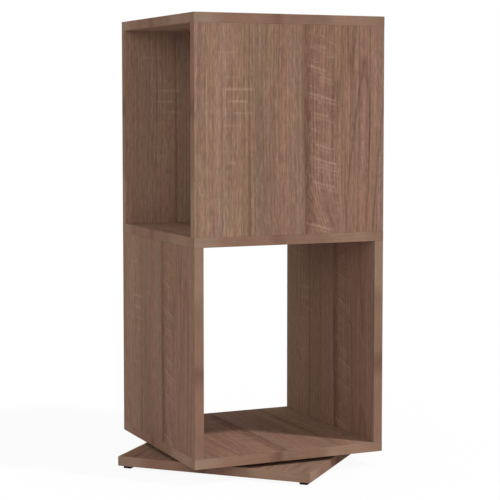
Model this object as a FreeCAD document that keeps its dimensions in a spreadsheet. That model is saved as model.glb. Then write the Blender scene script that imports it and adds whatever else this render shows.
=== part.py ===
import FreeCAD, Part
import math
import os
import re
import Sketcher

# Rotating shelf tower in melamine-faced chipboard.
# Three square boards and four upright panels make two open compartments, the upper one a quarter turn
# from the lower one. The carcass turns on a ball bearing above a square base plate on four glides.
# Millimetres and degrees, +Z up. The origin is on the axis of rotation at floor level, the closed upper
# front panel faces -Y, and the base plate stands turned under the carcass.

# Sizes: name, value, what it measures
SIZES = (
    ("board_width", "340", "side of the square top, middle and bottom boards"),
    ("board_thickness", "16", "thickness of the boards and panels of the carcass"),
    ("compartment_height", "340", "clear height of each compartment"),
    ("base_width", "340", "side of the square base plate"),
    ("base_thickness", "16", "thickness of the base plate"),
    ("base_turn", "45", "angle of the base plate under the carcass, in degrees"),
    ("edging_thickness", "0.8", "edge strip glued on a cut edge"),
    ("edging_round", "0.4", "rounding of an edge strip's outer edges"),
    ("edging_joint", "0.1", "gap where two edge strips meet at a corner"),
    ("screw_inset", "60", "connecting screw from the end of its panel"),
    ("screw_diameter", "7", "shank of a connecting screw"),
    ("screw_bite", "35", "length of a connecting screw inside its panel"),
    ("screw_point", "5", "length of a connecting screw's conical point"),
    ("screw_point_diameter", "3", "end of a connecting screw's point"),
    ("screw_head_diameter", "10", "head of a connecting screw"),
    ("screw_head_height", "2.5", "head of a connecting screw"),
    ("socket_width", "4", "hexagon socket across its flats"),
    ("socket_depth", "3", "hexagon socket from the top of the head"),
    ("cap_thickness", "1.5", "cover cap over a connecting screw"),
    ("cap_chamfer", "0.3", "chamfer round a cover cap's face"),
    ("cap_stub_length", "2", "stub of a cover cap inside the socket"),
    ("dowel_inset", "30", "dowel from the end of its panel"),
    ("dowel_diameter", "8", "wooden dowel"),
    ("dowel_length", "30", "wooden dowel"),
    ("dowel_seat", "10", "length of a dowel inside its board"),
    ("dowel_chamfer", "1", "chamfer at each end of a dowel"),
    ("fastener_clearance", "0.1", "gap round a fastener in its hole"),
    ("tip_clearance", "0.8", "gap past the end of a fastener in its hole"),
    ("track_radius", "50", "circle on which the balls run"),
    ("track_depth", "0.7", "depth of a ball in each bearing plate"),
    ("ball_diameter", "3.5", "bearing ball"),
    ("ball_count", "24", "number of bearing balls"),
    ("ball_clearance", "0.1", "running gap round a ball in its track"),
    ("sheet_thickness", "1.2", "pressed steel of the bearing plates"),
    ("dish_clearance", "0.2", "gap between a track's back and the board behind it"),
    ("dish_margin", "10", "rim of the pressed dish outside the track"),
    ("dish_slope", "3", "width of the slope from flange to dish"),
    ("flange_margin", "15", "least width of the flange round the dish"),
    ("plate_corner", "8", "corner radius of a bearing plate"),
    ("plate_hole_inset", "12.5", "screw hole from the edges of a bearing plate"),
    ("cage_width", "10", "ring that keeps the balls apart"),
    ("cage_thickness", "0.8", "ring that keeps the balls apart"),
    ("cage_clearance", "0.15", "gap round a ball in the cage"),
    ("eyelet_radius", "5", "outside of the tube that holds the plates together"),
    ("eyelet_wall", "1", "wall of the tube"),
    ("eyelet_flange", "3", "width of the tube's rolled flanges"),
    ("eyelet_flange_thickness", "0.6", "rolled flanges"),
    ("eyelet_clearance", "0.1", "running gap of the eyelet in the lower plate"),
    ("plate_screw_diameter", "3.5", "shank of a bearing screw"),
    ("plate_screw_cover", "4", "board left past the point of a bearing screw"),
    ("plate_screw_point", "3", "length of a bearing screw's point"),
    ("plate_screw_point_diameter", "0.8", "end of a bearing screw's point"),
    ("plate_screw_head_diameter", "7", "head of a bearing screw"),
    ("plate_screw_head_height", "1.4", "head of a bearing screw"),
    ("plate_screw_head_flat", "4", "flat on top of a bearing screw's head"),
    ("access_diameter", "12", "screwdriver hole in the base plate"),
    ("foot_height", "5", "glide under the base plate"),
    ("foot_width", "13.5", "side of the square glide"),
    ("foot_corner", "0.8", "corner radius of the glide, seen from below"),
    ("foot_round", "0.4", "rounding of the glide's lower edge"),
    ("foot_inset", "13.5", "centre of a glide from the edges of the base plate"),
    ("nail_diameter", "2", "nail that holds a glide"),
    ("nail_bite", "10", "length of a nail inside the base plate"),
    ("nail_point", "2", "length of a nail's point"),
    ("nail_point_diameter", "0.4", "end of a nail's point"),
    ("nail_head_diameter", "5", "nail head"),
    ("nail_head_height", "0.8", "nail head"),
    ("nail_sink", "0.6", "nail head above the floor"),
)

doc = FreeCAD.newDocument("rotating_shelf")
sheet = doc.addObject("Spreadsheet::Sheet", "sizes")
for row, (name, number, meaning) in enumerate(SIZES, start=1):
    sheet.set(f"A{row}", name)
    sheet.set(f"B{row}", number)
    sheet.setAlias(f"B{row}", name)
    sheet.set(f"C{row}", meaning)
doc.recompute()

SIZE_NAME = re.compile(r"\b(" + "|".join(name for name, number, meaning in SIZES) + r")\b")
UP = FreeCAD.Vector(0, 0, 1)
ACROSS = FreeCAD.Vector(1, 0, 0)
AS_DRAWN = FreeCAD.Rotation()
UPSIDE_DOWN = FreeCAD.Rotation(ACROSS, 180)

# Heights and places worked out from the sizes
DISH_RISE = "(track_depth + ball_clearance + dish_clearance)"
PLATE_GAP = "(ball_diameter - 2 * track_depth)"
BEARING_HEIGHT = f"(2 * ({DISH_RISE} + sheet_thickness) + {PLATE_GAP})"
BASE_TOP = "(foot_height + base_thickness)"
CARCASS_FOOT = f"({BASE_TOP} + {BEARING_HEIGHT})"
LOWER_FLOOR = f"({CARCASS_FOOT} + board_thickness)"
MIDDLE_FOOT = f"({LOWER_FLOOR} + compartment_height)"
UPPER_FLOOR = f"({MIDDLE_FOOT} + board_thickness)"
TOP_FOOT = f"({UPPER_FLOOR} + compartment_height)"
TOP = f"({TOP_FOOT} + board_thickness)"
PANEL_PLACE = "(board_width / 2 - board_thickness / 2)"
SCREW_PLACE = "(board_width / 2 - screw_inset)"
DOWEL_PLACE = "(board_width / 2 - dowel_inset)"
PLATE_HALF = "(track_radius + dish_margin + flange_margin)"
PLATE_HOLE = f"({PLATE_HALF} - plate_hole_inset)"
FOOT_PLACE = "(base_width / 2 - foot_inset)"
SCREW_SINK = "(cap_thickness + screw_head_height)"
SCREW_SHANK = f"(board_thickness - {SCREW_SINK} + screw_bite)"
PLATE_SCREW_BITE = "(min(board_thickness; base_thickness) - plate_screw_cover)"

nodes = []


def formula(text):
    """Put the sheet's name before each size, as the document's expressions need it."""
    return SIZE_NAME.sub(r"sizes.\1", text)


def value(text):
    """Work out a formula with the sizes as they are now."""
    return float(sheet.evalExpression(formula(text)))


def bind(item, setting, text):
    """Tie one property of an object to a formula."""
    item.setExpression(setting, formula(text))


def new_body(name):
    """Start a solid of its own."""
    return doc.addObject("PartDesign::Body", name)


def origin_feature(body, role):
    """Find one of a body's own origin planes or axes."""
    return [feature for feature in body.Origin.OriginFeatures if feature.Role == role][0]


def new_sketch(body, name, role="XY_Plane", lift="0"):
    """Start a sketch on an origin plane of its body, lifted along that plane's normal."""
    sketch = body.newObject("Sketcher::SketchObject", name)
    sketch.AttachmentSupport = [(origin_feature(body, role), "")]
    sketch.MapMode = "FlatFace"
    bind(sketch, "AttachmentOffset.Base.z", lift)
    return sketch


def add_size(sketch, kind, place, text):
    """Add one dimension to a sketch and tie it to a formula."""
    number = sketch.addConstraint(Sketcher.Constraint(kind, *place, value(text)))
    bind(sketch, f"Constraints[{number}]", text)


def hold_point(sketch, geometry, point, across, along):
    """Hold a point of a sketch at two formulas measured from the sketch's origin."""
    add_size(sketch, "DistanceX", (-1, 1, geometry, point), across)
    add_size(sketch, "DistanceY", (-1, 1, geometry, point), along)


def add_circles(sketch, centres, diameter):
    """Draw circles of one diameter round centres given as formulas."""
    for across, along in centres:
        middle = FreeCAD.Vector(value(across), value(along), 0)
        circle = sketch.addGeometry(Part.Circle(middle, UP, value(diameter) / 2))
        hold_point(sketch, circle, 3, across, along)
        add_size(sketch, "Diameter", (circle,), diameter)


def add_outline(sketch, points, arcs=None):
    """Draw a closed outline through points given as formulas. A side named in arcs is an arc, given by
    its centre and radius, and every other side is straight."""
    arcs = arcs or {}
    places = [FreeCAD.Vector(value(across), value(along), 0) for across, along in points]
    sides = []
    for side, start in enumerate(places):
        stop = places[(side + 1) % len(places)]
        if side not in arcs:
            sides.append((sketch.addGeometry(Part.LineSegment(start, stop)), 1, 2))
            continue
        across, along, radius = arcs[side]
        middle = FreeCAD.Vector(value(across), value(along), 0)
        turns_left = (start - middle).cross(stop - middle).z > 0
        ends = (start, stop) if turns_left else (stop, start)
        angles = [math.atan2(end.y - middle.y, end.x - middle.x) for end in ends]
        arc = sketch.addGeometry(Part.ArcOfCircle(Part.Circle(middle, UP, value(radius)), *angles))
        add_size(sketch, "Radius", (arc,), radius)
        sides.append((arc, 1, 2) if turns_left else (arc, 2, 1))
    for side, (geometry, first, last) in enumerate(sides):
        following, following_first, following_last = sides[(side + 1) % len(sides)]
        sketch.addConstraint(Sketcher.Constraint("Coincident", geometry, last, following, following_first))
        hold_point(sketch, geometry, first, *points[side])


def rectangle(half_across, half_along):
    """Corners of a rectangle round the sketch's origin."""
    return [(f"-{half_across}", f"-{half_along}"), (half_across, f"-{half_along}"),
            (half_across, half_along), (f"-{half_across}", half_along)]


def rounded_square(half, corner):
    """Outline of a square with round corners about the sketch's origin: its points and its arcs."""
    straight = f"({half} - {corner})"
    points = []
    arcs = {}
    rounded = (("", "-", False), ("", "", True), ("-", "", False), ("-", "-", True))
    for across, along, first_is_side in rounded:
        on_side = (f"{across}{half}", f"{along}{straight}")
        on_end = (f"{across}{straight}", f"{along}{half}")
        arcs[len(points)] = (f"{across}{straight}", f"{along}{straight}", corner)
        points += [on_side, on_end] if first_is_side else [on_end, on_side]
    return points, arcs


def pad(body, sketch, name, length, symmetric=False):
    """Raise a sketch into a solid."""
    feature = body.newObject("PartDesign::Pad", name)
    feature.Profile = sketch
    feature.SideType = "Symmetric" if symmetric else "One side"
    bind(feature, "Length", length)
    return feature


def revolve(body, sketch, name):
    """Turn a sketch a full turn about its own vertical axis."""
    feature = body.newObject("PartDesign::Revolution", name)
    feature.Profile = sketch
    feature.ReferenceAxis = (sketch, ["V_Axis"])
    feature.Angle = 360
    return feature


def cut(body, sketch, name, depth=None, upward=False):
    """Cut a sketch into its body, to a depth or right through, and make sure that it did cut."""
    doc.recompute()
    before = body.Shape.Volume
    feature = body.newObject("PartDesign::Pocket", name)
    feature.Profile = sketch
    feature.Reversed = upward
    if depth is None:
        feature.Type = "ThroughAll"
    else:
        bind(feature, "Length", depth)
    doc.recompute()
    if body.Shape.Volume >= before:
        raise RuntimeError(f"{name} cuts nothing from {body.Label}")
    return feature


def drill(body, name, centres, diameter, depth=None, lift="0", upward=False):
    """Drill round holes of one diameter from the plane at a height."""
    sketch = new_sketch(body, f"{name}_sketch", lift=lift)
    add_circles(sketch, centres, diameter)
    return cut(body, sketch, name, depth, upward)


def put(item, across="0", along="0", up="0", turn=AS_DRAWN):
    """Place an object by formulas, after turning it."""
    item.Placement = FreeCAD.Placement(FreeCAD.Vector(), turn)
    bind(item, "Placement.Base.x", across)
    bind(item, "Placement.Base.y", along)
    bind(item, "Placement.Base.z", up)
    return item


def put_with_base(item, up="0"):
    """Place an object on the axis, turned with the base plate."""
    put(item, up=up, turn=FreeCAD.Rotation(UP, value("base_turn")))
    bind(item, "Placement.Rotation.Angle", "base_turn")
    return item


def about_axis(angle):
    """A turn about the vertical axis."""
    return FreeCAD.Rotation(UP, angle)


def group(label, *sets):
    """Make one sub-part of several equal pieces. Each set is a piece and the places of its copies."""
    links = []
    for piece, places in sets:
        for across, along, up, turn in places:
            link = doc.addObject("App::Link", f"{label}_copy")
            link.LinkedObject = piece
            links.append(put(link, across, along, up, turn))
    compound = doc.addObject("Part::Compound", label)
    compound.Links = links
    nodes.append(compound)
    return compound


def corners(across, along):
    """The four places at plus and minus two distances."""
    return [(across, along), (f"-{across}", along), (f"-{across}", f"-{along}"), (across, f"-{along}")]


def hole_for(diameter):
    """Diameter of the hole that a fastener goes into."""
    return f"({diameter} + 2 * fastener_clearance)"


# Boards
FRONT_BACK_SCREWS = corners(SCREW_PLACE, PANEL_PLACE)
FRONT_BACK_DOWELS = corners(DOWEL_PLACE, PANEL_PLACE)
SIDE_SCREWS = corners(PANEL_PLACE, SCREW_PLACE)
SIDE_DOWELS = corners(PANEL_PLACE, DOWEL_PLACE)
DOWEL_HOLE_IN_BOARD = "(dowel_seat + tip_clearance)"


def make_square_board(label, width, thickness):
    """A square core whose edge strips bring it to its full width."""
    body = new_body(label)
    sketch = new_sketch(body, f"{label}_outline")
    half = f"({width} / 2 - edging_thickness)"
    add_outline(sketch, rectangle(half, half))
    pad(body, sketch, f"{label}_core", thickness)
    nodes.append(body)
    return body


def drill_for_screws(body, name, centres, from_top, sink):
    """Drill screw holes through a board, with the counterbore for their heads on one face."""
    face = "board_thickness" if from_top else "0"
    drill(body, f"{name}_shanks", centres, hole_for("screw_diameter"), None, face, not from_top)
    drill(body, f"{name}_heads", centres, hole_for("screw_head_diameter"), sink, face, not from_top)


def drill_for_dowels(body, name, centres, from_top):
    """Drill blind dowel holes into one face of a board."""
    face = "board_thickness" if from_top else "0"
    drill(body, name, centres, hole_for("dowel_diameter"), DOWEL_HOLE_IN_BOARD, face, not from_top)


def drill_for_bearing(body, name, thickness, from_top):
    """Drill the pilot holes for one bearing plate's screws into a board."""
    face = thickness if from_top else "0"
    depth = f"({PLATE_SCREW_BITE} + tip_clearance)"
    places = corners(PLATE_HOLE, PLATE_HOLE)
    drill(body, name, places, hole_for("plate_screw_diameter"), depth, face, not from_top)


top_board = make_square_board("top_board", "board_width", "board_thickness")
drill_for_screws(top_board, "top_screw_holes", FRONT_BACK_SCREWS, True, SCREW_SINK)
drill_for_dowels(top_board, "top_dowel_holes", FRONT_BACK_DOWELS, False)
put(top_board, up=TOP_FOOT)

middle_board = make_square_board("middle_board", "board_width", "board_thickness")
drill_for_screws(middle_board, "upward_screw_holes", FRONT_BACK_SCREWS, False, SCREW_SINK)
drill_for_screws(middle_board, "downward_screw_holes", SIDE_SCREWS, True, SCREW_SINK)
drill_for_dowels(middle_board, "upper_dowel_holes", FRONT_BACK_DOWELS, True)
drill_for_dowels(middle_board, "lower_dowel_holes", SIDE_DOWELS, False)
put(middle_board, up=MIDDLE_FOOT)

bottom_board = make_square_board("bottom_board", "board_width", "board_thickness")
drill_for_screws(bottom_board, "bottom_screw_holes", SIDE_SCREWS, False, "screw_head_height")
drill_for_dowels(bottom_board, "bottom_dowel_holes", SIDE_DOWELS, True)
drill_for_bearing(bottom_board, "bearing_pilot_holes", "board_thickness", False)
put(bottom_board, up=CARCASS_FOOT)

# Panels
PANEL_SCREWS = [(f"-{SCREW_PLACE}", "0"), (SCREW_PLACE, "0")]
PANEL_DOWELS = [(f"-{DOWEL_PLACE}", "0"), (DOWEL_PLACE, "0")]
QUARTER_TURN = about_axis(90)


def make_panel(label, across, along, up, turn):
    """An upright panel with screw and dowel holes in its upper and lower ends."""
    body = new_body(label)
    sketch = new_sketch(body, f"{label}_outline")
    add_outline(sketch, rectangle("(board_width / 2 - edging_thickness)", "(board_thickness / 2)"))
    pad(body, sketch, f"{label}_core", "compartment_height")
    for end, lift, upward in (("lower", "0", True), ("upper", "compartment_height", False)):
        drill(body, f"{label}_{end}_screw_holes", PANEL_SCREWS, hole_for("screw_diameter"),
              "(screw_bite + tip_clearance)", lift, upward)
        drill(body, f"{label}_{end}_dowel_holes", PANEL_DOWELS, hole_for("dowel_diameter"),
              "(dowel_length - dowel_seat + tip_clearance)", lift, upward)
    nodes.append(put(body, across, along, up, turn))


make_panel("upper_front_panel", "0", f"-{PANEL_PLACE}", UPPER_FLOOR, AS_DRAWN)
make_panel("upper_back_panel", "0", PANEL_PLACE, UPPER_FLOOR, AS_DRAWN)
make_panel("lower_left_panel", f"-{PANEL_PLACE}", "0", LOWER_FLOOR, QUARTER_TURN)
make_panel("lower_right_panel", PANEL_PLACE, "0", LOWER_FLOOR, QUARTER_TURN)

# Base plate
base_plate = make_square_board("base_plate", "base_width", "base_thickness")
drill_for_bearing(base_plate, "base_pilot_holes", "base_thickness", True)
drill(base_plate, "access_hole", [(f"(sqrt(2) * {PLATE_HOLE})", "0")], "access_diameter",
      None, "base_thickness")
drill(base_plate, "nail_holes", corners(FOOT_PLACE, FOOT_PLACE), hole_for("nail_diameter"),
      "(nail_bite + tip_clearance)", "0", True)
put_with_base(base_plate, "foot_height")


# Edge strips
def strip_outline(inner, low, high):
    """Section of an edge strip: its inner side is straight and its two outer corners are round."""
    outer = f"({inner} + edging_thickness)"
    shoulder = f"({outer} - edging_round)"
    low_round = f"({low} + edging_round)"
    high_round = f"({high} - edging_round)"
    points = [(inner, low), (shoulder, low), (outer, low_round),
              (outer, high_round), (shoulder, high), (inner, high)]
    arcs = {1: (shoulder, low_round, "edging_round"), 3: (shoulder, high_round, "edging_round")}
    return points, arcs


def make_board_strip(name, length, thickness):
    """A strip that lies along X with its inner side on the plane y = 0."""
    body = new_body(name)
    sketch = new_sketch(body, f"{name}_section", "YZ_Plane")
    add_outline(sketch, *strip_outline("0", "0", thickness))
    pad(body, sketch, f"{name}_run", length, symmetric=True)
    return body


def make_panel_strip(name):
    """A strip that stands upright with its inner side on the plane x = 0."""
    body = new_body(name)
    sketch = new_sketch(body, f"{name}_section")
    add_outline(sketch, *strip_outline("0", "-(board_thickness / 2)", "(board_thickness / 2)"))
    pad(body, sketch, f"{name}_run", "compartment_height")
    return body


def edge_board(label, strips, width, up):
    """Four strips round a square board: full-width ones front and back, shorter ones between them."""
    full, between = strips
    reach = f"({width} / 2 - edging_thickness)"
    return group(label,
                 (full, [("0", reach, up, about_axis(0)), ("0", f"-{reach}", up, about_axis(180))]),
                 (between, [(f"-{reach}", "0", up, about_axis(90)), (reach, "0", up, about_axis(-90))]))


def make_board_strips(name, width, thickness):
    """The long and the short strip of a square board."""
    between = f"({width} - 2 * edging_thickness - 2 * edging_joint)"
    return (make_board_strip(f"{name}_full_strip", width, thickness),
            make_board_strip(f"{name}_between_strip", between, thickness))


carcass_strips = make_board_strips("carcass", "board_width", "board_thickness")
for label, up in (("top_board", TOP_FOOT), ("middle_board", MIDDLE_FOOT), ("bottom_board", CARCASS_FOOT)):
    edge_board(f"{label}_edging", carcass_strips, "board_width", up)
base_strips = make_board_strips("base", "base_width", "base_thickness")
put_with_base(edge_board("base_plate_edging", base_strips, "base_width", "0"), "foot_height")

panel_strip = make_panel_strip("panel_strip")
STRIP_PLACE = "(board_width / 2 - edging_thickness)"
for side, place in (("front", f"-{PANEL_PLACE}"), ("back", PANEL_PLACE)):
    group(f"upper_{side}_panel_edging",
          (panel_strip, [(STRIP_PLACE, place, UPPER_FLOOR, about_axis(0)),
                         (f"-{STRIP_PLACE}", place, UPPER_FLOOR, about_axis(180))]))
for side, place in (("left", f"-{PANEL_PLACE}"), ("right", PANEL_PLACE)):
    group(f"lower_{side}_panel_edging",
          (panel_strip, [(place, STRIP_PLACE, LOWER_FLOOR, about_axis(90)),
                         (place, f"-{STRIP_PLACE}", LOWER_FLOOR, about_axis(-90))]))


# Connecting screws, cover caps and dowels
def make_connecting_screw():
    """A one-piece furniture screw, head up, with the seat of its head on the plane z = 0."""
    body = new_body("connecting_screw")
    profile = new_sketch(body, "screw_profile", "XZ_Plane")
    head = "(screw_head_diameter / 2)"
    shank = "(screw_diameter / 2)"
    add_outline(profile, [
        ("0", "screw_head_height"), (head, "screw_head_height"), (head, "0"), (shank, "0"),
        (shank, f"-({SCREW_SHANK} - screw_point)"), ("(screw_point_diameter / 2)", f"-{SCREW_SHANK}"),
        ("0", f"-{SCREW_SHANK}")])
    revolve(body, profile, "screw_turned")
    socket = new_sketch(body, "screw_socket", lift="screw_head_height")
    reach = "(socket_width / sqrt(3))"
    add_outline(socket, [(f"({reach} * cos({60 * side}))", f"({reach} * sin({60 * side}))")
                         for side in range(6)])
    cut(body, socket, "screw_socket_cut", "socket_depth")
    return body


def make_cover_cap():
    """A cap, face up, with its face on the plane z = 0 and a stub that goes into the screw's socket."""
    body = new_body("cover_cap")
    profile = new_sketch(body, "cap_profile", "XZ_Plane")
    rim = "(screw_head_diameter / 2)"
    stub = "(socket_width / 2 - fastener_clearance)"
    bottom = "-(cap_thickness + cap_stub_length)"
    add_outline(profile, [
        ("0", "0"), ("0", bottom), (stub, bottom), (stub, "-cap_thickness"), (rim, "-cap_thickness"),
        (rim, "-cap_chamfer"), (f"({rim} - cap_chamfer)", "0")])
    revolve(body, profile, "cap_moulded")
    return body


def make_dowel():
    """A dowel that stands on the plane z = 0."""
    body = new_body("dowel")
    profile = new_sketch(body, "dowel_profile", "XZ_Plane")
    side = "(dowel_diameter / 2)"
    end = f"({side} - dowel_chamfer)"
    add_outline(profile, [
        ("0", "0"), (end, "0"), (side, "dowel_chamfer"), (side, "(dowel_length - dowel_chamfer)"),
        (end, "dowel_length"), ("0", "dowel_length")])
    revolve(body, profile, "dowel_turned")
    return body


def at_height(centres, up, turn=AS_DRAWN):
    """Places of copies at one height."""
    return [(across, along, up, turn) for across, along in centres]


connecting_screw = make_connecting_screw()
group("top_board_screws",
      (connecting_screw, at_height(FRONT_BACK_SCREWS, f"({TOP} - {SCREW_SINK})")))
group("middle_board_upward_screws",
      (connecting_screw, at_height(FRONT_BACK_SCREWS, f"({MIDDLE_FOOT} + {SCREW_SINK})", UPSIDE_DOWN)))
group("middle_board_downward_screws",
      (connecting_screw, at_height(SIDE_SCREWS, f"({UPPER_FLOOR} - {SCREW_SINK})")))
group("bottom_board_screws",
      (connecting_screw, at_height(SIDE_SCREWS, f"({CARCASS_FOOT} + screw_head_height)", UPSIDE_DOWN)))

cover_cap = make_cover_cap()
group("top_board_caps", (cover_cap, at_height(FRONT_BACK_SCREWS, TOP)))
group("middle_board_upper_caps", (cover_cap, at_height(SIDE_SCREWS, UPPER_FLOOR)))
group("middle_board_lower_caps", (cover_cap, at_height(FRONT_BACK_SCREWS, MIDDLE_FOOT, UPSIDE_DOWN)))

dowel = make_dowel()
group("top_board_dowels", (dowel, at_height(FRONT_BACK_DOWELS, f"({TOP_FOOT} + dowel_seat)", UPSIDE_DOWN)))
group("upper_floor_dowels", (dowel, at_height(FRONT_BACK_DOWELS, f"({UPPER_FLOOR} - dowel_seat)")))
group("lower_ceiling_dowels", (dowel, at_height(SIDE_DOWELS, f"({MIDDLE_FOOT} + dowel_seat)", UPSIDE_DOWN)))
group("lower_floor_dowels", (dowel, at_height(SIDE_DOWELS, f"({LOWER_FLOOR} - dowel_seat)")))

# Swivel bearing
GROOVE_RADIUS = "(ball_diameter / 2 + ball_clearance)"
GROOVE_HALF = f"sqrt({GROOVE_RADIUS}^2 - ({PLATE_GAP} / 2)^2)"
GROOVE_BACK_RADIUS = f"({GROOVE_RADIUS} + sheet_thickness)"
GROOVE_BACK_HALF = f"sqrt({GROOVE_BACK_RADIUS}^2 - ({PLATE_GAP} / 2 + sheet_thickness)^2)"
BALL_LEVEL = f"({BEARING_HEIGHT} / 2)"


def make_bearing_plate(label):
    """A pressed steel plate: its flange lies on the plane z = 0 and its dish, with the ball track, rises
    towards the other plate."""
    body = new_body(label)
    flange = new_sketch(body, f"{label}_flange")
    add_outline(flange, *rounded_square(PLATE_HALF, "plate_corner"))
    dish_edge = "(track_radius + dish_margin)"
    add_circles(flange, [("0", "0")], f"(2 * {dish_edge})")
    pad(body, flange, f"{label}_sheet", "sheet_thickness")
    dish = new_sketch(body, f"{label}_dish", "XZ_Plane")
    dish_top = f"({DISH_RISE} + sheet_thickness)"
    eye = "(eyelet_radius + eyelet_clearance)"
    slope = f"({dish_edge} - dish_slope)"
    add_outline(dish, [
        (eye, DISH_RISE), (f"(track_radius - {GROOVE_BACK_HALF})", DISH_RISE),
        (f"(track_radius + {GROOVE_BACK_HALF})", DISH_RISE), (slope, DISH_RISE), (dish_edge, "0"),
        (dish_edge, "sheet_thickness"), (slope, dish_top), (f"(track_radius + {GROOVE_HALF})", dish_top),
        (f"(track_radius - {GROOVE_HALF})", dish_top), (eye, dish_top)],
        {1: ("track_radius", BALL_LEVEL, GROOVE_BACK_RADIUS),
         7: ("track_radius", BALL_LEVEL, GROOVE_RADIUS)})
    revolve(body, dish, f"{label}_pressing")
    drill(body, f"{label}_holes", corners(PLATE_HOLE, PLATE_HOLE), hole_for("plate_screw_diameter"),
          None, "sheet_thickness")
    nodes.append(body)
    return body


def make_cage():
    """A flat ring with one hole for each ball."""
    body = new_body("bearing_cage")
    ring = new_sketch(body, "cage_ring")
    add_circles(ring, [("0", "0")], "(2 * track_radius + cage_width)")
    add_circles(ring, [("0", "0")], "(2 * track_radius - cage_width)")
    pad(body, ring, "cage_sheet", "cage_thickness")
    pocket = drill(body, "cage_pocket", [("track_radius", "0")], "(ball_diameter + 2 * cage_clearance)",
                   None, "cage_thickness")
    pattern = body.newObject("PartDesign::PolarPattern", "cage_pockets")
    pattern.Originals = [pocket]
    pattern.Axis = (origin_feature(body, "Z_Axis"), [""])
    pattern.Angle = 360
    bind(pattern, "Occurrences", "ball_count")
    body.Tip = pattern
    nodes.append(put(body, up=f"({BASE_TOP} + {BALL_LEVEL} - cage_thickness / 2)"))


def make_ball():
    """One ball round the origin."""
    body = new_body("ball")
    profile = new_sketch(body, "ball_profile", "XZ_Plane")
    radius = "(ball_diameter / 2)"
    add_outline(profile, [("0", f"-{radius}"), (radius, "0"), ("0", radius)],
                {0: ("0", "0", radius), 1: ("0", "0", radius)})
    revolve(body, profile, "ball_turned")
    return body


def make_eyelet():
    """A tube with two rolled flanges. It is fixed in the upper plate and turns in the lower one."""
    body = new_body("bearing_eyelet")
    profile = new_sketch(body, "eyelet_profile", "XZ_Plane")
    bore = "(eyelet_radius - eyelet_wall)"
    flange = "(eyelet_radius + eyelet_flange)"
    low = f"({DISH_RISE} - eyelet_clearance)"
    high = f"({BEARING_HEIGHT} - {DISH_RISE})"
    bottom = f"({low} - eyelet_flange_thickness)"
    top = f"({high} + eyelet_flange_thickness)"
    add_outline(profile, [
        (bore, bottom), (flange, bottom), (flange, low), ("eyelet_radius", low), ("eyelet_radius", high),
        (flange, high), (flange, top), (bore, top)])
    revolve(body, profile, "eyelet_rolled")
    nodes.append(put(body, up=BASE_TOP))


def make_bearing_screw():
    """A short wood screw, head up, with the seat of its head on the plane z = 0."""
    body = new_body("bearing_screw")
    profile = new_sketch(body, "bearing_screw_profile", "XZ_Plane")
    head = "(plate_screw_head_diameter / 2)"
    shank = "(plate_screw_diameter / 2)"
    length = f"({PLATE_SCREW_BITE} + sheet_thickness)"
    add_outline(profile, [
        ("0", "plate_screw_head_height"), ("(plate_screw_head_flat / 2)", "plate_screw_head_height"),
        (head, "0"), (shank, "0"), (shank, f"-({length} - plate_screw_point)"),
        ("(plate_screw_point_diameter / 2)", f"-{length}"), ("0", f"-{length}")])
    revolve(body, profile, "bearing_screw_turned")
    return body


put_with_base(make_bearing_plate("bearing_lower_plate"), BASE_TOP)
put(make_bearing_plate("bearing_upper_plate"), up=CARCASS_FOOT, turn=UPSIDE_DOWN)
make_cage()
make_eyelet()
ball = make_ball()
ball_step = 360 / value("ball_count")
group("bearing_balls",
      (ball, [(f"(track_radius * cos({ball_step * number}))", f"(track_radius * sin({ball_step * number}))",
               f"({BASE_TOP} + {BALL_LEVEL})", AS_DRAWN) for number in range(int(value("ball_count")))]))
bearing_screw = make_bearing_screw()
plate_holes = corners(PLATE_HOLE, PLATE_HOLE)
put_with_base(group("bearing_lower_screws",
                    (bearing_screw, at_height(plate_holes, f"({BASE_TOP} + sheet_thickness)"))))
group("bearing_upper_screws",
      (bearing_screw, at_height(plate_holes, f"({CARCASS_FOOT} - sheet_thickness)", UPSIDE_DOWN)))

# Glides
NAIL_SEAT = "(nail_sink + nail_head_height)"


def make_foot(label, corner_angle):
    """A square glide with a recess for its nail, under one corner of the base plate."""
    body = new_body(label)
    outline = new_sketch(body, f"{label}_outline")
    add_outline(outline, *rounded_square("(foot_width / 2)", "foot_corner"))
    block = pad(body, outline, f"{label}_moulded", "foot_height")
    doc.recompute()
    on_floor = [f"Edge{number}" for number, edge in enumerate(block.Shape.Edges, start=1)
                if edge.BoundBox.ZMax < value("foot_round")]
    rounding = body.newObject("PartDesign::Fillet", f"{label}_rim")
    rounding.Base = (block, on_floor)
    bind(rounding, "Radius", "foot_round")
    middle = [("0", "0")]
    drill(body, f"{label}_nail_hole", middle, hole_for("nail_diameter"), None, "0", True)
    drill(body, f"{label}_nail_recess", middle, hole_for("nail_head_diameter"), NAIL_SEAT, "0", True)
    put_with_base(body)
    reach = f"(sqrt(2) * {FOOT_PLACE})"
    bind(body, "Placement.Base.x", f"({reach} * cos(base_turn + {corner_angle}))")
    bind(body, "Placement.Base.y", f"({reach} * sin(base_turn + {corner_angle}))")
    nodes.append(body)


def make_nail():
    """A nail, head down, with the seat of its head on the plane z = 0."""
    body = new_body("foot_nail")
    profile = new_sketch(body, "nail_profile", "XZ_Plane")
    head = "(nail_head_diameter / 2)"
    shank = "(nail_diameter / 2)"
    tip = f"(foot_height - {NAIL_SEAT} + nail_bite)"
    add_outline(profile, [
        ("0", "-nail_head_height"), (head, "-nail_head_height"), (head, "0"), (shank, "0"),
        (shank, f"({tip} - nail_point)"), ("(nail_point_diameter / 2)", tip), ("0", tip)])
    revolve(body, profile, "nail_drawn")
    return body


for side, corner_angle in (("right", -45), ("back", 45), ("left", 135), ("front", 225)):
    make_foot(f"foot_{side}", corner_angle)
foot_nail = make_nail()
put_with_base(group("foot_nails", (foot_nail, at_height(corners(FOOT_PLACE, FOOT_PLACE), NAIL_SEAT))))

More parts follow.
